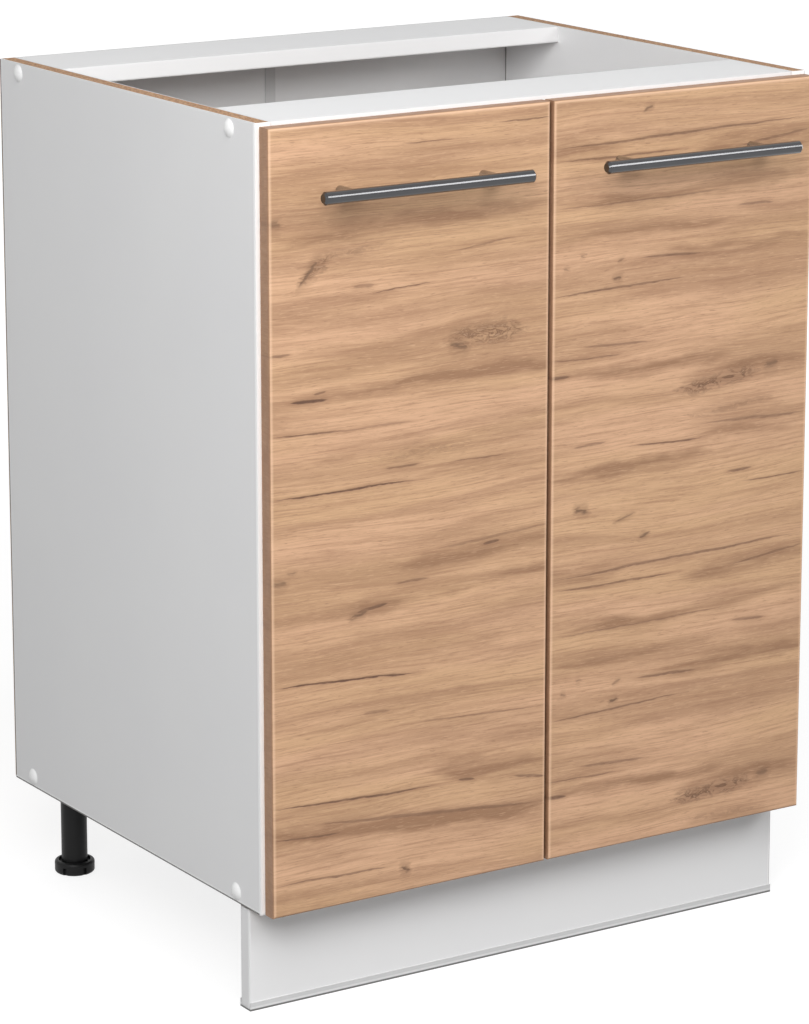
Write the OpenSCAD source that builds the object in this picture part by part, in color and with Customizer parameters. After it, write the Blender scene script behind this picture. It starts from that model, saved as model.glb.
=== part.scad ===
// Kitchen base cabinet with two oak decor doors, on adjustable legs, without its worktop
// Frame: X across the front, Y from front (-) to back (+), Z up from the floor

/* [Carcass] */
// Width over the two side panels
cabinet_w = 600; // [500:10:900]
// Height of the side panels
side_h = 720; // [600:10:900]
// Depth of the side panels
side_d = 477; // [400:1:600]
// Thickness of the boards
board_t = 16; // [15:0.5:19]
// Width of the two flat top rails
rail_w = 95; // [80:1:120]

/* [Back] */
// Thickness of the back panel halves
back_t = 3; // [2.5:0.5:4]
// How far the back stays inside the outline of the carcass
back_inset = 1; // [0.5:0.5:3]
// Width of the strip that joins the back halves
strip_w = 11.5; // [9:0.5:16]
// Thickness of the strip's two faces
strip_t = 1; // [0.8:0.1:1.5]
// Thickness of the strip's web between the halves
strip_web = 1.5; // [1:0.1:2]
// Length of the nails
nail_l = 20; // [16:1:25]
// Radius of the nails
nail_r = 0.7; // [0.6:0.05:1]
// Radius of the nail heads
nail_head_r = 1.8; // [1.5:0.1:2.2]
// Nails along each side of the back
nails_high = 6; // [4:1:8]
// Nails along the bottom and the rail, on each half
nails_wide = 2; // [1:1:4]

/* [Joinery] */
// Length of the assembly screws
screw_l = 50; // [45:1:70]
// Radius of the screw's smooth shank
screw_r = 3.5; // [3:0.1:3.8]
// Radius of the screw's threaded core
screw_core_r = 2.8; // [2.4:0.1:2.9]
// Radius of the screw's head
screw_head_r = 5; // [4.5:0.1:5.5]
// Height of the screw's head
screw_head_h = 4; // [3:0.5:5]
// Screws from the top and bottom edges of the sides
screw_edge = 10; // [8:0.5:11]
// Front screws from the front edge of the sides
screw_front = 44; // [35:1:50]
// Rear screws from the rear edge of the sides
screw_rear = 37; // [30:1:45]
// Radius of the cover caps
cap_r = 8.5; // [7:0.5:9.5]
// Height of the cover caps' dome
cap_h = 3.5; // [2:0.1:4.5]
// Radius of the cap's plug and of the screw's socket
cap_plug_r = 2; // [1.5:0.1:2.4]
// Length of the cap's plug
cap_plug_l = 2.5; // [2:0.1:2.8]
// Radius of the dowels
dowel_r = 4; // [3:0.5:4]
// Length of the dowels
dowel_l = 30; // [25:1:40]
// From a rail's screw to its dowel
dowel_step = 26; // [20:1:30]

/* [Shelf] */
// Height of the shelf over the bottom panel
shelf_up = 336; // [150:1:420]
// Thickness of the shelf
shelf_t = 16; // [15:0.5:19]
// Shelf behind the front edge of the sides
shelf_set = 32; // [10:1:100]
// Gap beside the shelf at each end
shelf_gap = 1; // [0.5:0.1:2]
// Radius of the shelf supports' pins
support_r = 2.5; // [2:0.5:3]
// Length of the pins in the sides
support_in = 8; // [6:0.5:10]
// Plate of a support under the shelf: across, deep, thick
support_plate = [9, 14, 2];
// Shelf supports from the front and rear edges of the shelf
support_edge = 50; // [20:1:90]

/* [Doors] */
// Thickness of the doors
door_t = 16; // [15:0.5:19]
// Gap between the doors and the carcass
door_gap = 1; // [0.8:0.1:1.5]
// The doors inside the outer faces of the sides
door_side = 3; // [1.5:0.5:4]
// The doors under the top of the sides
door_top = 3; // [1:0.5:5]
// The doors over the bottom of the sides
door_bottom = 1; // [0:0.5:5]
// Gap between the two doors
door_split = 4; // [3:0.5:6]
// Radius of the doors' rounded edges
door_edge_r = 2; // [1:0.5:3]
// Radius of the door buffers
buffer_r = 4; // [3:0.5:5]
// Buffers from the door's inner edge
buffer_in = 14; // [8:1:30]

/* [Handles] */
// Length of the handle bars
bar_l = 220; // [180:5:260]
// Radius of the handle bars
bar_r = 6; // [5:0.5:7]
// Bevel at the ends of the bars
bar_bevel = 2; // [1:0.5:3]
// From the door's face to the front of the bar
handle_out = 35; // [30:1:45]
// Distance between the posts
post_step = 150; // [96:2:192]
// Radius of the posts
post_r = 4.5; // [3.5:0.5:5]
// How deep the posts sit in the bar
post_seat = 4; // [2:0.5:5]
// Bar below the door's top edge
handle_down = 60; // [40:1:100]
// Radius of the handle screws
handle_screw_r = 2; // [1.5:0.25:2.5]
// How far the handle screws reach into the posts
handle_screw_in = 12; // [8:1:18]
// Radius of the handle screws' heads
handle_head_r = 4; // [3.5:0.5:5]
// Height of the handle screws' heads
handle_head_h = 2.5; // [2:0.1:3]

/* [Hinges] */
// Hinge centres from the door's top and bottom edges
hinge_edge = 100; // [80:5:150]
// Radius of the hinge cups
cup_r = 17.5; // [17:0.5:17.5]
// Depth of the cup in the door
cup_deep = 12; // [11.5:0.5:12.5]
// Wall of the cup
cup_wall = 1.3; // [1:0.1:1.5]
// Cup edge from the door's edge
cup_edge = 5; // [4:0.5:6]
// Thickness of the cup's flange and of the hinge's sheet metal parts
sheet_t = 1; // [0.8:0.1:1]
// Distance between the two screws of a cup
cup_screw_step = 45; // [42:1:52]
// Cup screws behind the cup's centre line
cup_screw_back = 9.5; // [7:0.5:10]
// Radius of the hinge's pins
pin_r = 1.5; // [1.2:0.1:1.6]
// Radius of the links' ends
link_r = 2.2; // [2.1:0.1:2.3]
// Length of the outer link
outer_link_l = 13; // [12:0.5:13.5]
// Length of the inner link
inner_link_l = 14.5; // [13.5:0.5:15]
// Half the width of the inner link
inner_link_half = 4; // [3:0.5:4.5]
// Thickness of the lugs, the outer link's plates and the arm's walls
hinge_plate_t = 1.5; // [1.2:0.1:1.6]
// Mounting plate's screws behind the front edge of the sides
plate_back = 37; // [37:1:40]
// Distance between the two screws of a mounting plate
plate_screw_step = 32; // [30:1:36]
// Thickness of the mounting plate's wings
plate_t = 2.5; // [2:0.1:3]
// Radius of the mounting plate's screws
plate_screw_r = 2.5; // [2:0.1:3]

/* [Legs] */
// Height of the carcass over the floor
leg_h = 100; // [90:1:150]
// Radius of the leg tubes
tube_r = 13; // [12:0.5:18]
// Wall of the leg tubes
tube_wall = 2.5; // [2:0.5:3]
// Radius of the feet
foot_r = 20; // [18:0.5:26]
// Height of the feet
foot_h = 13; // [12:1:22]
// Depth of the dish in the foot that the tube stands in
foot_dish = 3; // [2:0.5:7]
// Wall of the dish
foot_rim = 4; // [3:0.5:4.5]
// Radius of the foot's rounded edges
foot_round = 3; // [1:0.5:3]
// Radius of the feet's threaded stems
stem_r = 8; // [6:0.5:9]
// How far the stem reaches above the foot
stem_l = 55; // [50:1:60]
// Side of the square leg socket
socket_w = 50; // [46:1:60]
// Radius of the socket's collar
socket_r = 17.5; // [16:0.5:21]
// Height of the socket's collar
socket_h = 21; // [8:1:24]
// Legs from the outer faces of the sides
leg_side = 50; // [45:1:80]
// Rear legs from the rear edge of the sides
leg_rear = 26; // [26:1:60]

/* [Plinth] */
// Plinth behind the front edge of the sides
plinth_set = 25; // [20:1:60]
// Thickness of the plinth
plinth_t = 16; // [15:0.5:19]
// Plinth short of the side's outer face at each end
plinth_end = 2; // [0:0.5:5]
// Plinth over the floor
plinth_up = 2; // [1.5:0.5:5]
// Gap over the plinth
plinth_gap = 2; // [1:0.5:5]
// Radius of the plinth's upright edges
plinth_round = 2; // [1:0.5:3]
// Height of the sealing profile
seal_h = 8; // [7:0.5:14]
// Thickness of the sealing profile
seal_t = 1; // [0.8:0.1:1.2]
// From the plinth's rear face to the front leg tubes
clip_reach = 16; // [10:0.5:20]
// Wall of the plinth clips
clip_t = 2.4; // [2:0.1:3]
// Height of the plinth clips
clip_h = 20; // [15:1:25]

/* [Hidden] */
$fn = 64;

// Clearances
fit = 0.05;
gap = 0.3;

// Main planes: the front edge and the rear edge of the sides, the outer face of the left side
overall_d = handle_out + door_t + door_gap + side_d + back_t + strip_t;
front_y = -overall_d/2 + handle_out + door_t + door_gap;
rear_y = front_y + side_d;
outer_x = cabinet_w/2;
inner_x = outer_x - board_t;
top_z = leg_h + side_h;
floor_top_z = leg_h + board_t;
inner_w = 2*inner_x;

// Doors
door_w = (cabinet_w - 2*door_side - door_split)/2;
door_z = leg_h + door_bottom;
door_h = side_h - door_bottom - door_top;
door_face_y = front_y - door_gap - door_t;
handle_z = door_z + door_h - handle_down;
handle_x = door_split/2 + door_w/2;
bar_y = door_face_y - handle_out + bar_r;
hinge_zs = [door_z + hinge_edge, door_z + door_h - hinge_edge];

// Screws and dowels through the sides, as [y, z]
screw_spots = [for (z = [top_z - screw_edge, leg_h + screw_edge])
    for (y = [front_y + screw_front, rear_y - screw_rear]) [y, z]];
dowel_ys = [front_y + screw_front + dowel_step, rear_y - screw_rear - dowel_step];
dowel_spots = [for (z = [top_z - board_t/2, leg_h + board_t/2]) for (y = dowel_ys) [y, z]];
dowel_in_side = board_t - 4;

// Nails of the back, as [x, z]
nail_head_t = 0.8;
nail_rise = (side_h - 2*board_t)/nails_high;
nail_reach = inner_w/2/(nails_wide + 1);
side_nails = [for (s = [-1, 1]) for (i = [0:nails_high - 1])
    [s*(outer_x - board_t/2), floor_top_z + nail_rise*(i + 0.5)]];
edge_nails = [for (z = [leg_h + board_t/2, top_z - board_t/2]) for (s = [-1, 1])
    for (i = [1:nails_wide]) [s*nail_reach*i, z]];
nail_spots = concat(side_nails, edge_nails);

// Shelf
shelf_z = floor_top_z + shelf_up;
shelf_y = front_y + shelf_set;
shelf_d = side_d - shelf_set - strip_t - 2*gap;
support_ys = [shelf_y + support_edge, shelf_y + shelf_d - support_edge];
support_back_h = 10;
support_back_t = shelf_gap;

// Legs and plinth
plinth_y = front_y + plinth_set;
plinth_w = cabinet_w - 2*plinth_end;
plinth_h = leg_h - plinth_up - plinth_gap;
leg_x = outer_x - leg_side;
leg_front_y = plinth_y + plinth_t + clip_reach + tube_r;
leg_rear_y = rear_y - leg_rear;
leg_spots = [for (y = [leg_front_y, leg_rear_y]) for (s = [-1, 1]) [s*leg_x, y]];
socket_plate_t = 3.5;
socket_screw_in = socket_w/2 - 4.5;
socket_screw_r = 1.75;
socket_head_r = 3.2;
socket_head_t = 1.5;
socket_screw_l = socket_plate_t + board_t - 4;
tube_z = foot_h - foot_dish + gap;
tube_floor = 8;
foot_notches = 6;
foot_notch_w = 4;
foot_notch_h = 8;
foot_notch_in = 3;
foot_notch_turn = 32;

// Hinges, in a plan of the left side: x inwards from the side's outer face, f forwards from its front edge
swing_x = 5.5;
swing_f = 12.5;
cup_x = door_side + cup_edge + cup_r;
cup_inner_r = cup_r - cup_wall;
arm_tip = [32, 7];
cup_pin = [17, 3];
link_turn = atan2(arm_tip[1] - cup_pin[1], arm_tip[0] - cup_pin[0]);
lug_z = inner_link_half + gap;
outer_link_z = lug_z + hinge_plate_t + gap;
arm_wall_z = outer_link_z + hinge_plate_t + gap;
arm_half = arm_wall_z + hinge_plate_t;
tip_r = 4;
flange_x = 18.5;
flange_reach = cup_x + cup_screw_back + 5;
flange_half = cup_screw_step/2 + 5;
arm_seat_x = board_t + 10;
arm_low_x = board_t + 3.5;
arm_rear_f = -72;
arm_screw_f = -50;
arm_screw_r = 2;
arm_screw_head_r = 3.5;
arm_screw_head_h = 1.8;
plate_half_f = 15;
plate_half_z = plate_screw_step/2 + 9;
plate_block_f = [-66, -20];
plate_head_r = 3.5;
plate_head_h = 1.5;
plate_screw_in = 12;
cup_screw_r = 1.75;
cup_screw_head_r = 3.2;
cup_screw_head_h = 1.2;
cup_screw_in = 11;

// Helpers

// The right-hand piece is the mirror image of the left-hand one
module on_side(side) {
    if (side == "left") children();
    else mirror([1, 0, 0]) children();
}

// A cylinder along +X
module rod_x(r, l) {
    rotate([0, 90, 0]) cylinder(r = r, h = l);
}

// A cylinder along +Y
module rod_y(r, l) {
    rotate([-90, 0, 0]) cylinder(r = r, h = l);
}

// A square with all four corners rounded by true arcs
module rounded_square(w, h, r) {
    translate([r, 0]) square([w - 2*r, h]);
    translate([0, r]) square([w, h - 2*r]);
    for (x = [r, w - r]) for (y = [r, h - r]) translate([x, y]) circle(r);
}

// The left side's hinge plan set in the model: plan x inwards, plan f forwards, height z at the hinge centre
module in_hinge_plan(z) {
    translate([-outer_x, front_y, z]) mirror([0, 1, 0]) children();
}

// What stands on each of the two hinges of a door, in its plan
module at_hinges() {
    for (z = hinge_zs) in_hinge_plan(z) children();
}

// A flat bar between two plan points with round ends, standing from z to z + t
module link_bar(from, turn, l, r, z, t) {
    translate([from[0], from[1], z]) rotate([0, 0, turn]) linear_extrude(t) {
        circle(r);
        translate([l, 0]) circle(r);
        translate([0, -r]) square([l, 2*r]);
    }
}

// Both heights of a piece that the hinge has above and below its centre
module both_heights() {
    children();
    mirror([0, 0, 1]) children();
}

// Carcass

module board(w, d, h) {
    cube([w, d, h]);
}

module side_panel(side) {
    color("white") on_side(side) difference() {
        translate([-outer_x, front_y, leg_h]) board(board_t, side_d, side_h);
        for (p = screw_spots) translate([-outer_x, p[0], p[1]]) {
            translate([-1, 0, 0]) rod_x(screw_head_r + fit, screw_head_h + 1);
            rod_x(screw_r + fit, board_t + 1);
        }
        for (p = dowel_spots)
            translate([-inner_x - dowel_in_side, p[0], p[1]]) rod_x(dowel_r + fit, dowel_in_side + 1);
        for (y = support_ys)
            translate([-inner_x - support_in - gap, y, support_z()]) rod_x(support_r + fit, support_in + gap + 1);
        nail_shanks(nail_r + fit);
        plate_screw_shanks(plate_screw_r + fit);
    }
}

// What the ends of the bottom panel and the rails are drilled for, in one row of spots
module end_holes() {
    for (side = ["left", "right"]) on_side(side) {
        for (p = screw_spots)
            translate([-inner_x - 1, p[0], p[1]]) rod_x(screw_core_r + fit, screw_l - board_t + 2);
        for (p = dowel_spots)
            translate([-inner_x - 1, p[0], p[1]]) rod_x(dowel_r + fit, dowel_l - dowel_in_side + 1 + gap);
    }
}

module bottom_panel() {
    color("white") difference() {
        translate([-inner_x, front_y, leg_h]) board(inner_w, side_d, board_t);
        end_holes();
        nail_shanks(nail_r + fit);
        for (p = leg_spots) leg_screw_shanks(p, socket_screw_r + fit);
    }
}

module top_rail_front() {
    color("whitesmoke") difference() {
        translate([-inner_x, front_y, top_z - board_t]) board(inner_w, rail_w, board_t);
        end_holes();
    }
}

module top_rail_rear() {
    color("whitesmoke") difference() {
        translate([-inner_x, rear_y - rail_w, top_z - board_t]) board(inner_w, rail_w, board_t);
        end_holes();
        nail_shanks(nail_r + fit);
    }
}

// Back

module back_panel(side) {
    inner_edge = strip_web/2 + 0.2;
    color("lightgray") on_side(side) difference() {
        translate([-outer_x + back_inset, rear_y, leg_h + back_inset])
            cube([outer_x - back_inset - inner_edge, back_t, side_h - 2*back_inset]);
        nail_shanks(nail_r + fit);
    }
}

module back_joint_profile() {
    color("gainsboro") {
        translate([-strip_web/2, rear_y, leg_h + back_inset])
            cube([strip_web, back_t, side_h - 2*back_inset]);
        translate([-strip_w/2, rear_y + back_t, leg_h + back_inset])
            cube([strip_w, strip_t, side_h - 2*back_inset]);
        translate([-strip_w/2, rear_y - strip_t, floor_top_z + gap])
            cube([strip_w, strip_t, side_h - 2*board_t - 2*gap]);
    }
}

module nail_shanks(r) {
    for (p = nail_spots) translate([p[0], rear_y + back_t - nail_l, p[1]]) rod_y(r, nail_l);
}

module back_nails() {
    color("silver") {
        nail_shanks(nail_r);
        for (p = nail_spots) translate([p[0], rear_y + back_t, p[1]]) rod_y(nail_head_r, nail_head_t);
    }
}

// Joinery

module assembly_screws() {
    color("silver") for (side = ["left", "right"]) on_side(side)
        for (p = screw_spots) translate([-outer_x, p[0], p[1]]) difference() {
            union() {
                rod_x(screw_head_r, screw_head_h);
                rod_x(screw_r, board_t);
                rod_x(screw_core_r, screw_l);
            }
            translate([-1, 0, 0]) rod_x(cap_plug_r + fit, cap_plug_l + 1 + gap);
        }
}

module dowels() {
    color("burlywood") for (side = ["left", "right"]) on_side(side)
        for (p = dowel_spots) translate([-inner_x - dowel_in_side + gap, p[0], p[1]]) rod_x(dowel_r, dowel_l - gap);
}

module screw_caps() {
    dome_r = (cap_r*cap_r + cap_h*cap_h)/(2*cap_h);
    color("white") for (side = ["left", "right"]) on_side(side)
        for (p = screw_spots) translate([-outer_x, p[0], p[1]]) {
            intersection() {
                translate([dome_r - cap_h, 0, 0]) rotate([0, 90, 0]) sphere(dome_r);
                translate([-cap_h, 0, 0]) rod_x(cap_r, cap_h);
            }
            rod_x(cap_plug_r, cap_plug_l);
        }
}

// Shelf

function support_z() = shelf_z - support_plate[2] - support_r;

module shelf() {
    color("white") translate([-inner_x + shelf_gap + gap, shelf_y, shelf_z])
        board(inner_w - 2*shelf_gap - 2*gap, shelf_d, shelf_t);
}

module shelf_supports() {
    color("silver") for (side = ["left", "right"]) on_side(side)
        for (y = support_ys) translate([-inner_x, y, shelf_z]) {
            translate([0, -support_plate[1]/2, -support_plate[2]]) cube(support_plate);
            translate([0, -support_plate[1]/2, -support_back_h])
                cube([support_back_t, support_plate[1], support_back_h]);
            translate([-support_in, 0, -support_plate[2] - support_r])
                rod_x(support_r, support_in + support_back_t);
        }
}

// Doors

module door(side) {
    color("tan") on_side(side) difference() {
        translate([-outer_x + door_side, door_face_y, door_z]) intersection() {
            linear_extrude(door_h) rounded_square(door_w, door_t, door_edge_r);
            rotate([90, 0, 90]) linear_extrude(door_w) rounded_square(door_t, door_h, door_edge_r);
        }
        at_hinges() translate([cup_x, door_gap, 0]) rod_y(cup_r + fit, cup_deep + gap);
        cup_screw_shanks(cup_screw_r + fit);
        for (x = post_xs())
            translate([x, door_face_y - 1, handle_z]) rod_y(handle_screw_r + fit, door_t + 2);
    }
}

module door_buffers(side) {
    color("lightgray") on_side(side)
        for (z = [leg_h + board_t/2 + gap, top_z - board_t/2 - door_top/2])
            translate([-door_split/2 - buffer_in, front_y - door_gap, z]) rod_y(buffer_r, door_gap - 0.1);
}

// Handles

function post_xs() = [-handle_x - post_step/2, -handle_x + post_step/2];

module handle_bar(side) {
    color("dimgray") on_side(side) difference() {
        translate([-handle_x - bar_l/2, bar_y, handle_z]) rotate([0, 90, 0]) rotate_extrude()
            polygon([
                [0, 0], [bar_r - bar_bevel, 0], [bar_r, bar_bevel],
                [bar_r, bar_l - bar_bevel], [bar_r - bar_bevel, bar_l], [0, bar_l]
            ]);
        for (x = post_xs())
            translate([x, bar_y + bar_r - post_seat, handle_z]) rod_y(post_r + fit, post_seat + 1);
    }
}

module handle_posts(side) {
    post_l = handle_out - 2*bar_r + post_seat;
    color("dimgray") on_side(side)
        for (x = post_xs()) translate([x, door_face_y - post_l, handle_z]) difference() {
            rod_y(post_r, post_l);
            translate([0, post_l - handle_screw_in - gap, 0])
                rod_y(handle_screw_r + fit, handle_screw_in + 1 + gap);
        }
}

module handle_screws(side) {
    color("silver") on_side(side)
        for (x = post_xs()) translate([x, door_face_y - handle_screw_in, handle_z]) {
            rod_y(handle_screw_r, handle_screw_in + door_t);
            translate([0, handle_screw_in + door_t, 0]) rod_y(handle_head_r, handle_head_h);
        }
}

// Hinges

module cup_screw_shanks(r) {
    at_hinges() for (z = [-1, 1]*cup_screw_step/2)
        translate([cup_x + cup_screw_back, 0, z]) rod_y(r, door_gap + cup_screw_in);
}

module hinge_cups(side) {
    pin_hole_l = 2*(lug_z + hinge_plate_t) + 2;
    color("silver") on_side(side) at_hinges() difference() {
        union() {
            difference() {
                translate([cup_x, door_gap, 0]) rod_y(cup_r, cup_deep);
                translate([cup_x, -1, 0]) rod_y(cup_inner_r, door_gap + cup_deep);
            }
            difference() {
                translate([flange_x, door_gap - sheet_t, -flange_half])
                    cube([flange_reach - flange_x, sheet_t, 2*flange_half]);
                translate([cup_x, -1, 0]) rod_y(cup_inner_r, door_gap + 2);
            }
            both_heights() intersection() {
                translate([0, 0, lug_z]) linear_extrude(hinge_plate_t) {
                    translate([cup_x - cup_r, door_gap + 0.2])
                        square([cup_pin[0] - cup_x + cup_r, 2*(cup_pin[1] - door_gap - 0.2)]);
                    translate(cup_pin) circle(cup_pin[1] - door_gap - 0.2);
                }
                translate([cup_x, 0, 0]) rod_y(cup_r, cup_deep);
            }
        }
        translate([cup_pin[0], cup_pin[1], -pin_hole_l/2]) cylinder(r = pin_r, h = pin_hole_l);
        for (z = [-1, 1]*cup_screw_step/2)
            translate([cup_x + cup_screw_back, -1, z]) rod_y(cup_screw_r + fit, door_gap + 2);
    }
}

module hinge_cup_screws(side) {
    color("gray") on_side(side) {
        cup_screw_shanks(cup_screw_r);
        at_hinges() for (z = [-1, 1]*cup_screw_step/2)
            translate([cup_x + cup_screw_back, door_gap - sheet_t - cup_screw_head_h, z])
                rod_y(cup_screw_head_r, cup_screw_head_h);
    }
}

module hinge_cup_pins(side) {
    pin_l = 2*(lug_z + hinge_plate_t);
    color("gray") on_side(side) at_hinges()
        translate([cup_pin[0], cup_pin[1], -pin_l/2]) cylinder(r = pin_r, h = pin_l);
}

module hinge_inner_links(side) {
    color("silver") on_side(side) at_hinges() difference() {
        link_bar(cup_pin, link_turn, inner_link_l, link_r, -inner_link_half, 2*inner_link_half);
        translate([cup_pin[0], cup_pin[1], -inner_link_half - 1])
            cylinder(r = pin_r + fit, h = 2*inner_link_half + 2);
    }
}

module hinge_outer_links(side) {
    color("silver") on_side(side) at_hinges() both_heights() difference() {
        link_bar(arm_tip, link_turn + 180, outer_link_l, link_r, outer_link_z, hinge_plate_t);
        translate([arm_tip[0], arm_tip[1], outer_link_z - 1]) cylinder(r = pin_r + fit, h = hinge_plate_t + 2);
    }
}

// The arm is a channel: two walls that reach into the cup, joined by a web over the mounting plate
module hinge_arms(side) {
    web_t = hinge_plate_t;
    top_x = arm_seat_x + web_t;
    wall = [
        [arm_low_x, arm_rear_f], [top_x, arm_rear_f], [top_x, -18], [arm_tip[0] + tip_r, -7],
        [arm_tip[0] + tip_r, arm_tip[1]], [arm_tip[0] - tip_r, arm_tip[1]], [26, -4], [arm_low_x, -11]
    ];
    color("silver") on_side(side) at_hinges() difference() {
        union() {
            both_heights() translate([0, 0, arm_wall_z]) linear_extrude(hinge_plate_t) {
                polygon(wall);
                translate(arm_tip) circle(tip_r);
            }
            translate([arm_seat_x, arm_rear_f, -arm_half]) cube([web_t, -18 - arm_rear_f, 2*arm_half]);
        }
        translate([arm_tip[0], arm_tip[1], -arm_half - 1]) cylinder(r = pin_r, h = 2*arm_half + 2);
        translate([arm_seat_x - 1, arm_screw_f, 0]) rod_x(arm_screw_r + fit, web_t + 2);
    }
}

module hinge_arm_rivets(side) {
    color("gray") on_side(side) at_hinges() both_heights() translate([arm_tip[0], arm_tip[1], 0]) {
        translate([0, 0, outer_link_z]) cylinder(r = pin_r, h = arm_half - outer_link_z);
        translate([0, 0, arm_half]) cylinder(r = pin_r + 1, h = sheet_t);
    }
}

module plate_screw_shanks(r) {
    at_hinges() for (z = [-1, 1]*plate_screw_step/2)
        translate([board_t - plate_screw_in, -plate_back, z]) rod_x(r, plate_screw_in + plate_t);
}

module hinge_plates(side) {
    block_z = arm_wall_z - gap;
    color("lightgray") on_side(side) at_hinges() difference() {
        union() {
            translate([board_t, -plate_back - plate_half_f, -plate_half_z])
                cube([plate_t, 2*plate_half_f, 2*plate_half_z]);
            translate([board_t, plate_block_f[0], -block_z])
                cube([arm_seat_x - board_t, plate_block_f[1] - plate_block_f[0], 2*block_z]);
        }
        for (z = [-1, 1]*plate_screw_step/2)
            translate([board_t - 1, -plate_back, z]) rod_x(plate_screw_r + fit, plate_t + 2);
        translate([board_t + plate_t, arm_screw_f, 0]) rod_x(arm_screw_r + fit, arm_seat_x);
    }
}

module hinge_plate_screws() {
    color("gray") for (side = ["left", "right"]) on_side(side) {
        plate_screw_shanks(plate_screw_r);
        at_hinges() for (z = [-1, 1]*plate_screw_step/2)
            translate([board_t + plate_t, -plate_back, z]) rod_x(plate_head_r, plate_head_h);
    }
}

module hinge_arm_screws() {
    head_x = arm_seat_x + hinge_plate_t;
    foot_x = board_t + plate_t + gap;
    color("gray") for (side = ["left", "right"]) on_side(side) at_hinges() {
        translate([foot_x, arm_screw_f, 0]) rod_x(arm_screw_r, head_x - foot_x);
        translate([head_x, arm_screw_f, 0]) rod_x(arm_screw_head_r, arm_screw_head_h);
    }
}

// Legs

module leg_screw_shanks(p, r) {
    for (x = [-1, 1]*socket_screw_in) for (y = [-1, 1]*socket_screw_in)
        translate([p[0] + x, p[1] + y, leg_h - socket_plate_t]) cylinder(r = r, h = socket_screw_l);
}

module leg_sockets() {
    color("black") for (p = leg_spots) difference() {
        translate([p[0], p[1], 0]) {
            translate([0, 0, leg_h - socket_plate_t]) linear_extrude(socket_plate_t)
                translate([-1, -1]*socket_w/2) rounded_square(socket_w, socket_w, 4);
            translate([0, 0, leg_h - socket_h]) cylinder(r = socket_r, h = socket_h);
        }
        translate([p[0], p[1], leg_h - socket_h - 1])
            cylinder(r = tube_r + fit, h = socket_h - socket_plate_t + 1);
        leg_screw_shanks([p[0], p[1]], socket_screw_r + fit);
    }
}

module leg_socket_screws() {
    color("silver") for (p = leg_spots) {
        leg_screw_shanks(p, socket_screw_r);
        for (x = [-1, 1]*socket_screw_in) for (y = [-1, 1]*socket_screw_in)
            translate([p[0] + x, p[1] + y, leg_h - socket_plate_t - socket_head_t])
                cylinder(r = socket_head_r, h = socket_head_t);
    }
}

module leg_tubes() {
    tube_l = leg_h - socket_plate_t - tube_z;
    color("black") for (p = leg_spots) translate([p[0], p[1], tube_z]) difference() {
        cylinder(r = tube_r, h = tube_l);
        translate([0, 0, tube_floor]) cylinder(r = tube_r - tube_wall, h = tube_l);
        translate([0, 0, -1]) cylinder(r = stem_r + fit, h = tube_l);
    }
}

// A foot is a round dish with notches in its lower rim and a threaded stem up into the tube
module leg_foot(p) {
    color("black") translate([p[0], p[1], 0]) {
        difference() {
            rotate_extrude() difference() {
                union() {
                    translate([0, foot_round]) square([foot_r, foot_h - 2*foot_round]);
                    square([foot_r - foot_round, foot_h]);
                    for (z = [foot_round, foot_h - foot_round])
                        translate([foot_r - foot_round, z]) circle(foot_round);
                }
                translate([0, foot_h - foot_dish]) square([foot_r - foot_rim, foot_dish + 1]);
            }
            for (i = [0:foot_notches - 1]) rotate([0, 0, foot_notch_turn + 360/foot_notches*i])
                translate([foot_r - foot_notch_in, -foot_notch_w/2, -1])
                    cube([foot_notch_in + 1, foot_notch_w, foot_notch_h + 1]);
        }
        cylinder(r = stem_r, h = foot_h + stem_l);
    }
}

// Plinth

module plinth_panel() {
    color("white") translate([-plinth_w/2, plinth_y, plinth_up])
        linear_extrude(plinth_h) rounded_square(plinth_w, plinth_t, plinth_round);
}

module plinth_seal() {
    color("silver") translate([-plinth_w/2, plinth_y - seal_t, gap]) difference() {
        cube([plinth_w, plinth_t + 2*seal_t, seal_h - gap]);
        translate([-1, seal_t, plinth_up - gap]) cube([plinth_w + 2, plinth_t, seal_h]);
    }
}

module plinth_clips() {
    clip_z = leg_h/2;
    ring_r = tube_r + fit + clip_t;
    foot_w = 30;
    color("black") for (x = [-leg_x, leg_x]) translate([x, 0, clip_z]) linear_extrude(clip_h) difference() {
        union() {
            translate([0, leg_front_y]) circle(ring_r);
            translate([-foot_w/2, plinth_y + plinth_t]) square([foot_w, clip_t]);
            translate([-clip_t*2, plinth_y + plinth_t]) square([clip_t*4, clip_reach]);
        }
        translate([0, leg_front_y]) circle(tube_r + fit);
        translate([0, leg_front_y]) polygon([[0, 0], [2*ring_r, 2*ring_r], [-2*ring_r, 2*ring_r]]);
    }
}

side_panel("left");  // side_panel_left
side_panel("right");  // side_panel_right
bottom_panel();
top_rail_front();
top_rail_rear();
back_panel("left");  // back_panel_left
back_panel("right");  // back_panel_right
back_joint_profile();
back_nails();
assembly_screws();
dowels();
screw_caps();
shelf();
shelf_supports();
door("left");  // door_left
door("right");  // door_right
door_buffers("left");  // door_buffers_left
door_buffers("right");  // door_buffers_right
handle_bar("left");  // handle_bar_left
handle_bar("right");  // handle_bar_right
handle_posts("left");  // handle_posts_left
handle_posts("right");  // handle_posts_right
handle_screws("left");  // handle_screws_left
handle_screws("right");  // handle_screws_right
hinge_cups("left");  // hinge_cups_left
hinge_cups("right");  // hinge_cups_right
hinge_cup_screws("left");  // hinge_cup_screws_left
hinge_cup_screws("right");  // hinge_cup_screws_right
hinge_cup_pins("left");  // hinge_cup_pins_left
hinge_cup_pins("right");  // hinge_cup_pins_right
hinge_inner_links("left");  // hinge_inner_links_left
hinge_inner_links("right");  // hinge_inner_links_right
hinge_outer_links("left");  // hinge_outer_links_left
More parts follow.
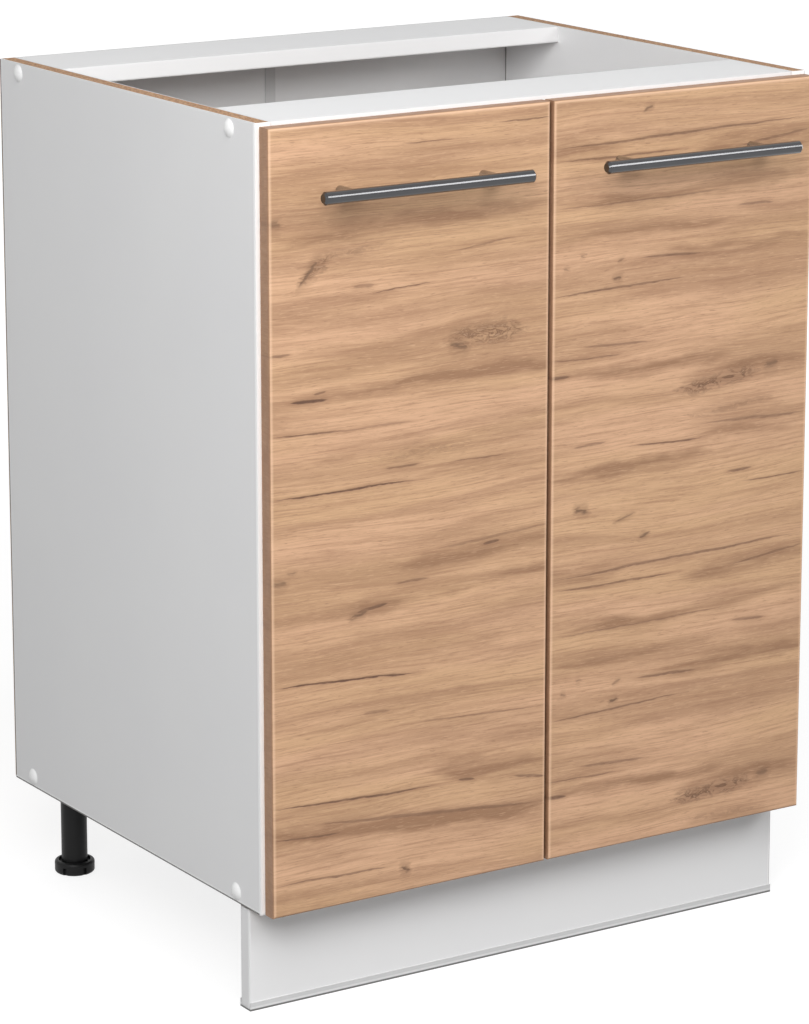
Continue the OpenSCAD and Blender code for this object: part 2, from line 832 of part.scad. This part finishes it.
hinge_outer_links("right");  // hinge_outer_links_right
hinge_arms("left");  // hinge_arms_left
hinge_arms("right");  // hinge_arms_right
hinge_arm_rivets("left");  // hinge_arm_rivets_left
hinge_arm_rivets("right");  // hinge_arm_rivets_right
hinge_plates("left");  // hinge_plates_left
hinge_plates("right");  // hinge_plates_right
hinge_plate_screws();
hinge_arm_screws();
leg_sockets();
leg_socket_screws();
leg_tubes();
leg_foot(leg_spots[0]);  // leg_foot_front_left
leg_foot(leg_spots[1]);  // leg_foot_front_right
leg_foot(leg_spots[2]);  // leg_foot_rear_left
leg_foot(leg_spots[3]);  // leg_foot_rear_right
plinth_panel();
plinth_seal();
plinth_clips();
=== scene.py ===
"""Looks of the kitchen base cabinet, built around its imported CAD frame. Lengths are in metres."""

import functools
import math

import bpy
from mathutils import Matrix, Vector

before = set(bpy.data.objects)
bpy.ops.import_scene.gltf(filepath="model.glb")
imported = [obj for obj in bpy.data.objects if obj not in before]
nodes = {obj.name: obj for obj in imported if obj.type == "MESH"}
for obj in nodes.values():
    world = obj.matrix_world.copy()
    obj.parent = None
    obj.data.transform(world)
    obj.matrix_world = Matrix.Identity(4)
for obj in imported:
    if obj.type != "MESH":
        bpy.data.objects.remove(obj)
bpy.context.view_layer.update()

# Camera
camera_place = Vector((-2.052, -3.180, 1.356))
camera_heading = math.radians(32.72)
camera_fall = math.radians(12.91)
camera_lens = 142.06
camera_shift_y = -0.0996

# Boards
chip_core = 0.0064
board_edge_radius = 0.0025
side_centre_x = 0.292
bottom_centre_z = 0.108
shelf_centre_z = 0.460
rail_centre_z = 0.812
side_rear_y = 0.2625
side_low_z = 0.100
side_front_y = -0.2145
plinth_end_x = 0.298

# Doors: low x, high x, low z and high z in millimetres
left_door_ends = (-297, -2, 101, 817)
right_door_ends = (2, 297, 101, 817)

# Lamps: place, width and height of the panel, and watts
lamp_target = (0, 0, 0.6)
left_lamp = ((-1.75, -1.95, 1.85), 1.2, 1.2, 46)
high_lamp = ((-0.8, -1.5, 2.4), 1.5, 1.1, 19)
key_lamp = ((1.9, -2.75, 2.2), 1.1, 1.2, 33)
world_level = 0.28

# Floor: its size, and how white the camera sees it between two squared distances from its middle
floor_size = 60
near_squared, far_squared = 0.5, 9.0
near_white, far_white = 0.80, 0.97


def srgb(red, green, blue):
    """A colour of 0 to 255 sRGB values as Blender's linear colour."""
    def linear(value):
        value = value / 255
        return value / 12.92 if value <= 0.04045 else ((value + 0.055) / 1.055) ** 2.4
    return (linear(red), linear(green), linear(blue), 1)


class Wire:
    """A value in a material's node tree. Sums, products and the like become Math nodes."""

    def __init__(self, tree, socket):
        self.tree = tree
        self.socket = socket

    def math(self, operation, *others):
        node = self.tree.nodes.new("ShaderNodeMath")
        node.operation = operation
        for target, value in zip(node.inputs, (self, *others)):
            feed(self.tree, target, value)
        return Wire(self.tree, node.outputs[0])

    def __add__(self, other):
        return self.math("ADD", other)

    def __sub__(self, other):
        return self.math("SUBTRACT", other)

    def __mul__(self, other):
        return self.math("MULTIPLY", other)

    def size(self):
        return self.math("ABSOLUTE")

    def top(self, other):
        return self.math("MAXIMUM", other)

    def low(self, other):
        return self.math("MINIMUM", other)

    def times_plus(self, factor, addend):
        return self.math("MULTIPLY_ADD", factor, addend)

    def step(self, start, end, low=0, high=1):
        """Goes smoothly from low at start to high at end."""
        node = self.tree.nodes.new("ShaderNodeMapRange")
        node.interpolation_type = "SMOOTHSTEP"
        if start > end:
            start, end, low, high = end, start, high, low
        ends = {"From Min": start, "From Max": end, "To Min": low, "To Max": high}
        for name, value in ends.items():
            node.inputs[name].default_value = value
        self.tree.links.new(self.socket, node.inputs["Value"])
        return Wire(self.tree, node.outputs["Result"])


def feed(tree, target, value):
    """Puts a wire, a number or a colour into a node's input."""
    if isinstance(value, Wire):
        tree.links.new(value.socket, target)
    else:
        target.default_value = value


def seen_directly(tree):
    """One for what the camera sees, also in gloss or clear plastic, and zero for the light it gives."""
    path = tree.nodes.new("ShaderNodeLightPath")
    seen = Wire(tree, path.outputs["Is Camera Ray"])
    seen = seen.top(Wire(tree, path.outputs["Is Glossy Ray"]))
    return seen.top(Wire(tree, path.outputs["Is Transmission Ray"]))


class Finish:
    """One procedural material: its tree, its shader, and short calls that add nodes."""

    def __init__(self, name, roughness=0.5, **sockets):
        self.material = bpy.data.materials.new(name)
        self.material.use_nodes = True
        self.tree = self.material.node_tree
        self.shader = self.tree.nodes["Principled BSDF"]
        self.shader.inputs["Roughness"].default_value = roughness
        for socket, value in sockets.items():
            self.shader.inputs[socket.replace("_", " ")].default_value = value
        self.place = self.output("ShaderNodeTexCoord", "Object")
        self.facing = self.output("ShaderNodeNewGeometry", "Normal")

    def output(self, kind, name):
        return Wire(self.tree, self.tree.nodes.new(kind).outputs[name])

    def split(self, vector):
        node = self.tree.nodes.new("ShaderNodeSeparateXYZ")
        self.tree.links.new(vector.socket, node.inputs[0])
        return [Wire(self.tree, socket) for socket in node.outputs]

    def join(self, x, y, z):
        node = self.tree.nodes.new("ShaderNodeCombineXYZ")
        for target, value in zip(node.inputs, (x, y, z)):
            feed(self.tree, target, value)
        return Wire(self.tree, node.outputs[0])

    def object_normal(self):
        """The surface's direction in the object's own frame, so that it stays right on a turned body."""
        node = self.tree.nodes.new("ShaderNodeVectorTransform")
        node.vector_type = "NORMAL"
        node.convert_from = "WORLD"
        node.convert_to = "OBJECT"
        self.tree.links.new(self.facing.socket, node.inputs[0])
        return Wire(self.tree, node.outputs[0])

    def noise(self, vector, scale=1.0, detail=2.0, roughness=0.5, distortion=0.0):
        node = self.tree.nodes.new("ShaderNodeTexNoise")
        for name, value in (("Vector", vector), ("Scale", scale), ("Detail", detail),
                            ("Roughness", roughness), ("Distortion", distortion)):
            feed(self.tree, node.inputs[name], value)
        return Wire(self.tree, node.outputs["Fac"])

    def cell_colour(self, vector, scale):
        node = self.tree.nodes.new("ShaderNodeTexVoronoi")
        feed(self.tree, node.inputs["Vector"], vector)
        node.inputs["Scale"].default_value = scale
        return Wire(self.tree, node.outputs["Color"])

    def mix(self, amount, low, high):
        node = self.tree.nodes.new("ShaderNodeMix")
        node.data_type = "RGBA"
        feed(self.tree, node.inputs["Factor"], amount)
        feed(self.tree, node.inputs[6], low)
        feed(self.tree, node.inputs[7], high)
        return Wire(self.tree, node.outputs[2])

    def bump(self, height, depth, edge_radius=None):
        """Fine relief, with soft edges where an edge radius is given."""
        node = self.tree.nodes.new("ShaderNodeBump")
        node.inputs["Distance"].default_value = depth
        self.tree.links.new(height.socket, node.inputs["Height"])
        if edge_radius is not None:
            edge = self.tree.nodes.new("ShaderNodeBevel")
            edge.inputs["Radius"].default_value = edge_radius
            self.tree.links.new(edge.outputs["Normal"], node.inputs["Normal"])
        self.tree.links.new(node.outputs["Normal"], self.shader.inputs["Normal"])

    def set(self, **values):
        for name, value in values.items():
            feed(self.tree, self.shader.inputs[name.replace("_", " ")], value)


def chipboard(finish):
    """The colour of the raw core, and the height of its flecks."""
    tint = finish.cell_colour(finish.place, 380)
    fleck = finish.noise(finish.place, scale=560, detail=3)
    streak = finish.noise(finish.place, scale=150, detail=2)
    chips = finish.mix(tint, srgb(158, 118, 88), srgb(216, 178, 140))
    chips = finish.mix(streak.step(0.4, 0.7, 0, 0.5), chips, srgb(190, 142, 100))
    chips = finish.mix(fleck.step(0.42, 0.70, 0, 0.9), chips, srgb(116, 82, 60))
    return chips, fleck


def raw_edge(place, normal, axis, centre):
    """One on a board's bare edges, but not on its faces, its skins or its banded front."""
    across = place[axis]
    if axis == 0:
        across = across.size()
    core = (across - centre).size().step(chip_core + 0.0003, chip_core - 0.0001)
    not_face = normal[axis].size().step(0.6, 0.4)
    not_front = normal[1].step(-0.6, -0.4)
    return core * not_face * not_front


def melamine(name, thickness_axis=None, centre=0.0, rims=(), band_and_highlight_y=None):
    """White melamine. With a thickness axis, its raw edges show the chipboard core.

    Each rim is an axis, a place on it and the way inwards: a thin dark line with a painted highlight
    line beside it.
    Towards the front from the last place given lies the edge band, painted pure white: its own white
    with a painted highlight along the front edge.
    """
    finish = Finish(name, roughness=0.55)
    place = finish.split(finish.place)
    normal = finish.split(finish.object_normal())
    cloud = finish.noise(finish.place, scale=7, detail=3)
    grain = finish.noise(finish.place, scale=1500, detail=2)
    height = grain
    white = finish.mix(cloud, srgb(236, 236, 237), srgb(241, 241, 241))
    for axis, edge, inwards in rims:
        depth = (place[axis] - edge) * inwards
        beside = normal[axis].size().step(0.7, 0.4)
        # Painted highlight: a near-white line just inside each rim, standing in for the light caught by
        # the edge.
        white = finish.mix(beside * depth.step(0.0036, 0.0022, 0, 0.8), white, srgb(252, 252, 252))
        white = finish.mix(beside * depth.step(0.0017, 0.0010), white, srgb(118, 116, 115))
    if band_and_highlight_y is not None:
        # Painted highlight: the front edge band is painted pure white, whiter than its own colour, for
        # the light its edge catches.
        white = finish.mix((place[1] - band_and_highlight_y).step(0.0034, 0.0026), white, srgb(255, 255, 255))
    if thickness_axis is not None:
        raw = raw_edge(place, normal, thickness_axis, centre)
        chips, fleck = chipboard(finish)
        white = finish.mix(raw, white, chips)
        height = finish.mix(raw, grain, fleck)
        finish.set(Roughness=raw.step(0, 1, 0.55, 0.85))
    finish.set(Base_Color=white)
    finish.bump(height, 0.00006, edge_radius=board_edge_radius)
    return finish.material


def hardboard(name):
    """Thin board: white lacquer with a fine texture inside, brown pressed fibres behind."""
    finish = Finish(name, roughness=0.5)
    behind = finish.split(finish.object_normal())[1].step(-0.3, 0.1)
    cloud = finish.noise(finish.place, scale=8, detail=3)
    fibre = finish.noise(finish.place, scale=260, detail=4, distortion=2.5)
    speck = finish.noise(finish.place, scale=900, detail=2)
    lacquer = finish.mix(cloud, srgb(228, 228, 229), srgb(234, 234, 234))
    brown = finish.mix(fibre.step(0.3, 0.7), srgb(164, 126, 92), srgb(208, 168, 128))
    brown = finish.mix(cloud.step(0.3, 0.7, 0, 0.45), brown, srgb(180, 136, 96))
    brown = finish.mix(speck.step(0.55, 0.70, 0, 0.6), brown, srgb(124, 90, 64))
    finish.set(Base_Color=finish.mix(behind, lacquer, brown))
    finish.set(Roughness=behind.step(0, 1, 0.38, 0.8))
    finish.bump(finish.mix(behind, speck, fibre), 0.00008)
    return finish.material


def moulded(name, dark, light, roughness, depth=0.00004, **sockets):
    """Moulded plastic with a slight cloud of tone and a fine grained texture."""
    finish = Finish(name, roughness=roughness, **sockets)
    cloud = finish.noise(finish.place, scale=30, detail=3)
    grain = finish.noise(finish.place, scale=1400, detail=2)
    tone = finish.mix(cloud, dark, light)
    finish.set(Base_Color=finish.mix(grain.step(0.5, 0.8, 0, 0.3), tone, light))
    finish.set(Roughness=grain.step(0.2, 0.8, roughness - 0.06, roughness + 0.08))
    finish.bump(grain, depth)
    return finish.material


def soft_seal(name):
    """Grey sealing profile, darker in a thin line along its foot and lighter in a thin line above that.
    """
    finish = Finish(name, roughness=0.45)
    z = finish.split(finish.place)[2]
    cloud = finish.noise(finish.place, scale=30, detail=3)
    grain = finish.noise(finish.place, scale=1200, detail=2)
    tone = finish.mix(cloud, srgb(206, 206, 207), srgb(214, 214, 214))
    tone = finish.mix(z.step(0.0046, 0.0036, 0, 0.8), tone, srgb(232, 232, 232))
    tone = finish.mix(z.step(0.0024, 0.0016), tone, srgb(104, 103, 102))
    finish.set(Base_Color=tone)
    finish.bump(grain, 0.00004)
    return finish.material


def metal(name, dark, light, roughness, scales=(90, 2600, 2600), **sockets):
    """Plated metal with a slight cloud of tone and fine marks along the axis of the smallest scale."""
    finish = Finish(name, roughness=roughness, Metallic=1.0, **sockets)
    x, y, z = finish.split(finish.place)
    drawn = finish.noise(finish.join(x * scales[0], y * scales[1], z * scales[2]), detail=2)
    cloud = finish.noise(finish.place, scale=60, detail=3)
    tone = finish.mix(cloud, dark, light)
    finish.set(Base_Color=finish.mix(drawn.step(0.5, 0.8, 0, 0.35), tone, light))
    finish.set(Roughness=drawn.step(0.2, 0.8, roughness - 0.05, roughness + 0.09))
    finish.bump(drawn, 0.00001)
    return finish.material


def beech(name):
    """Turned beech with short dark rays along the dowel."""
    finish = Finish(name, roughness=0.6)
    x, y, z = finish.split(finish.place)
    rays = finish.noise(finish.join(x * 260, y * 1800, z * 1800), detail=2)
    growth = finish.noise(finish.join(x * 20, y * 420, z * 420), detail=3)
    wood = finish.mix(growth, srgb(206, 168, 124), srgb(226, 192, 150))
    finish.set(Base_Color=finish.mix(rays.step(0.55, 0.7, 0, 0.7), wood, srgb(160, 116, 76)))
    finish.bump(growth, 0.00008)
    return finish.material


# Marks of the oak decor, given in millimetres of the part's frame:
# middle x, middle z, half length, half height, rise per millimetre, depth of tone
left_cracks = (
    (-131, 792, 28, 0.9, 0.00, 0.50),
    (-28, 803, 30, 1.1, 0.01, 0.65),
    (-160, 664, 34, 0.9, 0.05, 0.70),
    (-200, 670, 12, 2.6, 0.00, 0.35),
    (-73, 695, 34, 1.2, 0.09, 0.40),
    (-257, 573, 21, 2.2, -0.05, 1.00),
    (-246, 579, 7, 1.6, 0.10, 0.60),
    (-287, 616, 12, 1.8, 0.00, 0.55),
    (-257, 543, 40, 1.2, -0.04, 0.70),
    (-190, 541, 46, 1.2, 0.00, 0.35),
    (-219, 487, 80, 1.4, 0.00, 0.95),
    (-160, 501, 20, 1.5, 0.00, 0.60),
    (-78, 498, 30, 1.0, 0.00, 0.50),
    (-64, 418, 10, 2.0, 0.10, 0.70),
    (-64, 423, 66, 1.9, 0.06, 0.35),
    (-149, 394, 20, 1.6, 0.00, 0.50),
    (-192, 376, 18, 2.2, 0.14, 0.75),
    (-218, 312, 80, 1.4, -0.055, 0.95),
    (-187, 277, 16, 2.4, 0.00, 0.40),
    (-74, 257, 76, 1.2, -0.05, 0.40),
    (-210, 200, 92, 1.4, -0.045, 0.80),
    (-90, 197, 10, 2.2, -0.10, 0.70),
    (-20, 188, 20, 2.0, -0.15, 0.60),
    (-130, 171, 130, 2.3, -0.09, 0.50),
    (-260, 172, 38, 1.3, -0.05, 0.65),
    (-233, 130, 62, 1.4, -0.025, 0.60),
)
left_shades = (
    (-150, 722, 170, 15, 0.02, 0.95),
    (-120, 578, 190, 11, 0.01, 0.80),
    (-190, 522, 70, 12, 0.04, 0.60),
    (-70, 412, 110, 15, 0.05, 0.75),
    (-215, 378, 120, 15, 0.05, 0.95),
    (-40, 385, 120, 10, 0.03, 0.70),
    (-60, 204, 80, 17, -0.10, 1.00),
    (-150, 166, 190, 10, -0.07, 1.00),
    (-250, 116, 100, 8, 0.00, 0.50),
)
left_knots = (
    (-257, 687, 11, 4, 1.10, 0.70),
    (-291, 733, 7, 6, 0.00, 0.60),
    (-100, 604, 10, 5, -0.30, 0.75),
    (-289, 411, 9, 4, 0.00, 0.60),
    (-277, 419, 5, 2, 0.00, 0.45),
    (-157, 122, 6, 4, -0.30, 0.90),
    (-207, 371, 9, 3, 0.20, 0.80),
)
left_burrs = (
    (-70, 612, 50, 17, 0.02, 0.80),
    (-222, 700, 50, 5, 0.10, 0.40),
    (-130, 513, 60, 12, 0.00, 0.30),
    (-250, 690, 18, 12, 0.60, 0.75),
)
right_cracks = (
    (136, 663, 38, 1.7, -0.02, 0.60),
    (253, 763, 46, 1.6, 0.11, 0.50),
    (10, 562, 13, 2.6, -0.05, 0.75),
    (40, 577, 44, 1.2, -0.02, 0.50),
    (134, 486, 42, 1.6, -0.03, 0.75),
    (235, 497, 66, 1.9, -0.03, 0.50),
    (45, 495, 20, 1.8, 0.05, 0.50),
    (218, 449, 16, 2.0, 0.05, 0.60),
    (260, 437, 40, 1.2, 0.00, 0.60),
    (146, 776, 150, 1.7, 0.025, 0.60),
    (75, 761, 72, 1.4, 0.00, 0.60),
    (104, 718, 104, 1.2, 0.01, 0.40),
    (232, 703, 22, 2.0, -0.05, 0.50),
    (78, 639, 78, 1.4, 0.025, 0.60),
    (75, 586, 40, 1.9, -0.05, 0.50),
)
right_shades = (
    (230, 758, 90, 14, 0.06, 1.00),
    (30, 772, 60, 13, 0.00, 0.90),
    (160, 723, 160, 10, 0.02, 0.70),
    (100, 690, 120, 8, 0.00, 0.50),
    (220, 666, 110, 12, 0.00, 0.80),
    (90, 562, 130, 10, -0.01, 0.90),
    (230, 545, 90, 14, 0.00, 0.70),
    (90, 468, 130, 10, 0.03, 0.95),
    (240, 487, 80, 9, 0.00, 0.60),
)
right_knots = (
    (107, 802, 6, 2.4, 0.30, 0.75),
    (74, 647, 6, 2.2, 0.10, 0.85),
    (36, 433, 9, 4, -0.20, 0.85),
    (85, 420, 12, 2, 0.30, 0.60),
    (17, 661, 4.5, 2, 0.00, 0.50),
    (35, 673, 3, 2, 0.00, 0.40),
    (78, 664, 4, 2, 0.30, 0.45),
    (253, 546, 9, 5, 0.10, 0.60),
)
right_burrs = (
    (190, 539, 52, 13, 0.08, 1.00),
    (205, 512, 60, 5, 0.00, 0.35),
)
# The right door shows its picture between these heights, and the same again below them
right_repeat = (412, 814)


def marks(x, z, places, fade, spread):
    """How dark the marks are at a point, and how dark the wider shade round them."""
    depths = []
    shades = []
    for middle_x, middle_z, half_length, half_height, rise, depth in places:
        along = x - middle_x
        across = along.times_plus(-rise, z) - middle_z
        along = along * (1 / half_length)
        along = along * along
        reach = along.times_plus(along, across.size() * (1 / half_height))
        depths.append(reach.step(1.0, fade, 0, depth))
        shades.append(reach.step(spread, 0.4, 0, depth))
    return functools.reduce(Wire.top, depths), functools.reduce(Wire.top, shades)


class Oak(Finish):
    """Oak decor with the grain across the door. Its places are in millimetres of the part's frame."""

    def __init__(self, name, repeat=None):
        super().__init__(name, roughness=0.5)
        self.x, self.y, self.z = [axis * 1000 for axis in self.split(self.place)]
        x, y, z = self.x, self.y, self.z
        wander = self.noise(self.join(x * 0.0021, y * 0.01, z * 0.0075), detail=2) - 0.5
        self.ripple = self.noise(self.join(x * 0.016, y * 0.02, z * 0.045), detail=3) - 0.5
        self.fray = self.noise(self.join(x * 0.11, y * 0.1, z * 0.35), detail=2) - 0.5
        self.lie = z + wander * 36 + self.ripple * 2.5
        self.line = z + self.ripple * 5 + self.fray * 1.6
        if repeat is not None:
            low, high = repeat
            self.lie = self.lie.math("WRAP", high, low)
            self.line = self.line.math("WRAP", high, low)
        first = self.grain(0.003, 0.022).step(0.35, 0.65)
        self.colour = self.mix(first, srgb(222, 178, 143), srgb(214, 173, 134))

    def grain(self, along, across, detail=2, roughness=0.5):
        """Noise drawn out along the grain, which wanders a little up and down."""
        place = self.join(self.x * along, self.y * 0.1, self.lie * across)
        return self.noise(place, 1.0, detail, roughness)

    def lay(self, amount, red, green, blue):
        """Lays a tone over the colour so far."""
        self.colour = self.mix(amount, self.colour, srgb(red, green, blue))

    def broad_tones(self, shades):
        """Brown streaks, the wide shades of this door's picture, and soft year rings."""
        broad = self.grain(0.0040, 0.026, 4, 0.55).step(0.43, 0.66)
        patch = marks(self.x, self.line + self.ripple * 18, shades, 0.0, 1.0)[0]
        patch = patch * self.grain(0.006, 0.10, 4, 0.6).step(0.36, 0.60, 0.45, 1.10)
        self.lay(broad.times_plus(0.50, patch).low(1.0), 156, 118, 88)
        self.lay(self.grain(0.007, 0.14, 4, 0.6).step(0.46, 0.72) * 0.36, 168, 126, 96)
        ring = self.grain(0.002, 0.012).times_plus(1.6, self.lie * 0.026).math("FRACT")
        ring = ring.step(0.50, 0.90) * ring.step(1.0, 0.92)
        ring = ring * self.grain(0.005, 0.06).step(0.40, 0.62)
        self.lay(ring * 0.42, 156, 116, 88)

    def fine_tones(self):
        """Light and dark lines, fibres and pores. Returns the fibres and pores for the relief."""
        self.lay(self.grain(0.016, 0.42, 4, 0.65).step(0.52, 0.74) * 0.28, 236, 194, 158)
        self.lay(self.grain(0.011, 0.46, 5, 0.7).step(0.46, 0.68) * 0.50, 158, 117, 88)
        fibre = self.grain(0.03, 0.95, 3, 0.6).step(0.34, 0.70)
        self.lay(fibre * 0.20, 156, 118, 90)
        pore = self.grain(0.09, 1.2)
        tick = pore.step(0.60, 0.72)
        self.lay(tick * 0.40, 134, 96, 70)
        self.lay(pore.step(0.42, 0.30, 0, 0.24), 236, 196, 160)
        return fibre, tick

    def burr_marks(self, burrs):
        """Clusters of small curls."""
        curl = self.noise(self.join(self.x * 0.045, self.y * 0.1, self.line * 0.13), 1.0, 3, 0.6, 2.6)
        burr = marks(self.x + self.fray * 30, self.line + self.ripple * 14, burrs, 0.0, 1.0)[0]
        self.lay(burr * curl.step(0.42, 0.58).times_plus(0.80, 0.32), 118, 84, 60)
        self.lay(burr * curl.step(0.56, 0.68, 0, 0.5), 222, 182, 148)

    def crack_marks(self, cracks):
        """Thin dark cracks with a brown shade round them. Returns the cracks for the relief."""
        crack, shade = marks(self.x, self.line, cracks, 0.3, 3.0)
        self.lay(shade * 0.40, 154, 114, 86)
        self.lay(crack * (self.fray + 1.0), 98, 68, 50)
        return crack

    def knot_marks(self, knots):
        """Small dark knots with a brown shade round them."""
        knot, shade = marks(self.x + self.fray * 12, self.line + self.fray * 5, knots, 0.0, 3.2)
        self.lay(shade * 0.50, 146, 110, 82)
        self.lay(knot * 0.9, 92, 66, 48)

    def edge_tones_and_painted_light(self, ends):
        """A painted highlight along the front's left, right and top edges, a painted shade line at its
        foot, and browner narrow sides, partly the edge's own tone and partly painted shade.
        """
        left, right, foot, head = ends
        front = self.split(self.object_normal())[1].size().step(0.5, 0.9)
        inside = (self.x - left).low(self.x * -1 + right).low(self.z * -1 + head)
        # Painted highlight on the rounded left, right and top edges of the front.
        self.lay(inside.step(4.0, 1.6, 0, 0.45) * front, 246, 206, 172)
        # Painted shade on the rounded foot of the front.
        self.lay((self.z - foot).step(2.4, 1.0, 0, 0.6) * front, 128, 90, 64)
        # Narrow sides browner: partly the edge's own tone, partly painted shade.
        self.lay(front.step(1, 0, 0, 0.72), 146, 108, 82)


def oak(name, ends, cracks, shades, knots, burrs, repeat=None):
    """One door's oak decor, with the marks that make its own picture."""
    finish = Oak(name, repeat)
    finish.broad_tones(shades)
    fibre, tick = finish.fine_tones()
    finish.burr_marks(burrs)
    crack = finish.crack_marks(cracks)
    finish.knot_marks(knots)
    finish.edge_tones_and_painted_light(ends)
    finish.set(Base_Color=finish.colour)
    finish.set(Roughness=fibre.step(0, 1, 0.46, 0.58))
    finish.bump(fibre + crack * 2 + tick, -0.00004)
    return finish.material


def stage_floor():
    """A pale floor that the camera sees white, with the shadow of the object on it."""
    bpy.ops.mesh.primitive_plane_add(size=floor_size, location=(0, 0, 0))
    floor = bpy.context.object
    floor.name = "floor"
    finish = Finish("floor_paint", roughness=0.9)
    speckle = finish.noise(finish.place, scale=40, detail=3)
    finish.set(Base_Color=finish.mix(speckle, srgb(146, 146, 146), srgb(152, 152, 152)))
    x, y = finish.split(finish.place)[:2]
    white = (x * x + y * y).step(near_squared, far_squared, near_white, far_white)
    finish.set(Emission_Color=(1, 1, 1, 1))
    finish.set(Emission_Strength=seen_directly(finish.tree) * white)
    floor.data.materials.append(finish.material)


def studio_world():
    """Plain soft light from all sides; the camera and reflections see it white."""
    world = bpy.data.worlds.new("studio")
    bpy.context.scene.world = world
    world.use_nodes = True
    tree = world.node_tree
    background = tree.nodes["Background"]
    background.inputs["Color"].default_value = (1, 1, 1, 1)
    feed(tree, background.inputs["Strength"], seen_directly(tree).step(0, 1, world_level, 1.0))


def area_light(name, place, width, height, watts):
    """A soft rectangular lamp that looks at the cabinet."""
    data = bpy.data.lights.new(name, "AREA")
    data.shape = "RECTANGLE"
    data.size = width
    data.size_y = height
    data.energy = watts
    lamp = bpy.data.objects.new(name, data)
    bpy.context.scene.collection.objects.link(lamp)
    lamp.location = place
    lamp.rotation_euler = (Vector(lamp_target) - Vector(place)).to_track_quat("-Z", "Y").to_euler()
    lamp.visible_camera = False


def photograph_camera():
    """The camera at the photograph's viewing angle."""
    data = bpy.data.cameras.new("camera")
    data.lens = camera_lens
    data.sensor_width = 36
    data.shift_y = camera_shift_y
    data.clip_end = 100
    camera = bpy.data.objects.new("camera", data)
    bpy.context.scene.collection.objects.link(camera)
    camera.location = camera_place
    camera.rotation_euler = (math.pi / 2 - camera_fall, 0, -camera_heading)
    bpy.context.scene.camera = camera


def dress(names, material):
    """Gives CAD nodes their material."""
    for name in names:
        mesh = nodes[name].data
        mesh.materials.clear()
        mesh.materials.append(material)
        for face in mesh.polygons:
            face.material_index = 0


def both(*names):
    """The left and the right node of each name."""
    return [f"{name}_{side}" for name in names for side in ("left", "right")]


def dress_boards():
    """White boards, the thin back and the wooden dowels."""
    rear_rim = (1, side_rear_y, -1)
    low_rim = (2, side_low_z, 1)
    side = melamine("melamine_side", 0, side_centre_x, [rear_rim, low_rim], side_front_y)
    dress(both("side_panel"), side)
    dress(["bottom_panel"], melamine("melamine_bottom", 2, bottom_centre_z))
    dress(["top_rail_front", "top_rail_rear"], melamine("melamine_rail", 2, rail_centre_z, [rear_rim]))
    dress(["shelf"], melamine("melamine_shelf", 2, shelf_centre_z))
    dress(["plinth_panel"], melamine("melamine_plinth", rims=[(0, plinth_end_x, -1)]))
    dress(both("back_panel"), hardboard("lacquered_hardboard"))
    dress(["dowels"], beech("beech"))


def dress_plastics():
    """Strip, caps, buffers, seal, and the legs with their clips."""
    dress(["back_joint_profile"], moulded("grey_strip", srgb(208, 208, 209), srgb(216, 216, 216), 0.45))
    dress(["screw_caps"], moulded("white_cap", srgb(240, 240, 240), srgb(248, 248, 248), 0.3))
    dress(both("door_buffers"), moulded("clear_buffer", srgb(224, 228, 230), srgb(236, 239, 240), 0.25,
                                        Transmission_Weight=0.7, IOR=1.43))
    dress(["plinth_seal"], soft_seal("grey_seal"))
    feet = both("leg_foot_front", "leg_foot_rear")
    dress(["leg_sockets", "leg_tubes", "plinth_clips", *feet],
          moulded("black_plastic", srgb(18, 18, 18), srgb(27, 27, 28), 0.42, depth=0.00006,
                  Specular_IOR_Level=0.2))


def dress_metals():
    """Fixings, hinges and handles."""
    fixings = ["back_nails", "assembly_screws", "leg_socket_screws", "shelf_supports"]
    dress([*fixings, *both("handle_screws")],
          metal("zinc_steel", srgb(176, 178, 182), srgb(206, 208, 212), 0.34, (500, 500, 500)))
    hinges = both("hinge_cups", "hinge_cup_screws", "hinge_cup_pins", "hinge_inner_links",
                  "hinge_outer_links", "hinge_arms", "hinge_arm_rivets", "hinge_plates")
    dress([*hinges, "hinge_plate_screws", "hinge_arm_screws"],
          metal("nickel_steel", srgb(186, 182, 174), srgb(212, 208, 200), 0.24, (700, 700, 90)))
    dress(both("handle_bar"),
          metal("graphite_metal", srgb(56, 56, 58), srgb(68, 68, 70), 0.16,
                Coat_Weight=1.0, Coat_Roughness=0.09))
    dress(both("handle_posts"), metal("polished_metal", srgb(160, 158, 155), srgb(180, 178, 175), 0.16))


def dress_doors():
    """Each door in its own picture of the oak decor."""
    dress(["door_left"], oak("oak_decor_left", left_door_ends,
                             left_cracks, left_shades, left_knots, left_burrs))
    dress(["door_right"], oak("oak_decor_right", right_door_ends,
                              right_cracks, right_shades, right_knots, right_burrs, right_repeat))


dress_boards()
dress_plastics()
dress_metals()
dress_doors()

studio_world()
stage_floor()
area_light("left", *left_lamp)
area_light("high", *high_lamp)
area_light("key", *key_lamp)
photograph_camera()
bpy.context.scene.view_settings.view_transform = "Standard"
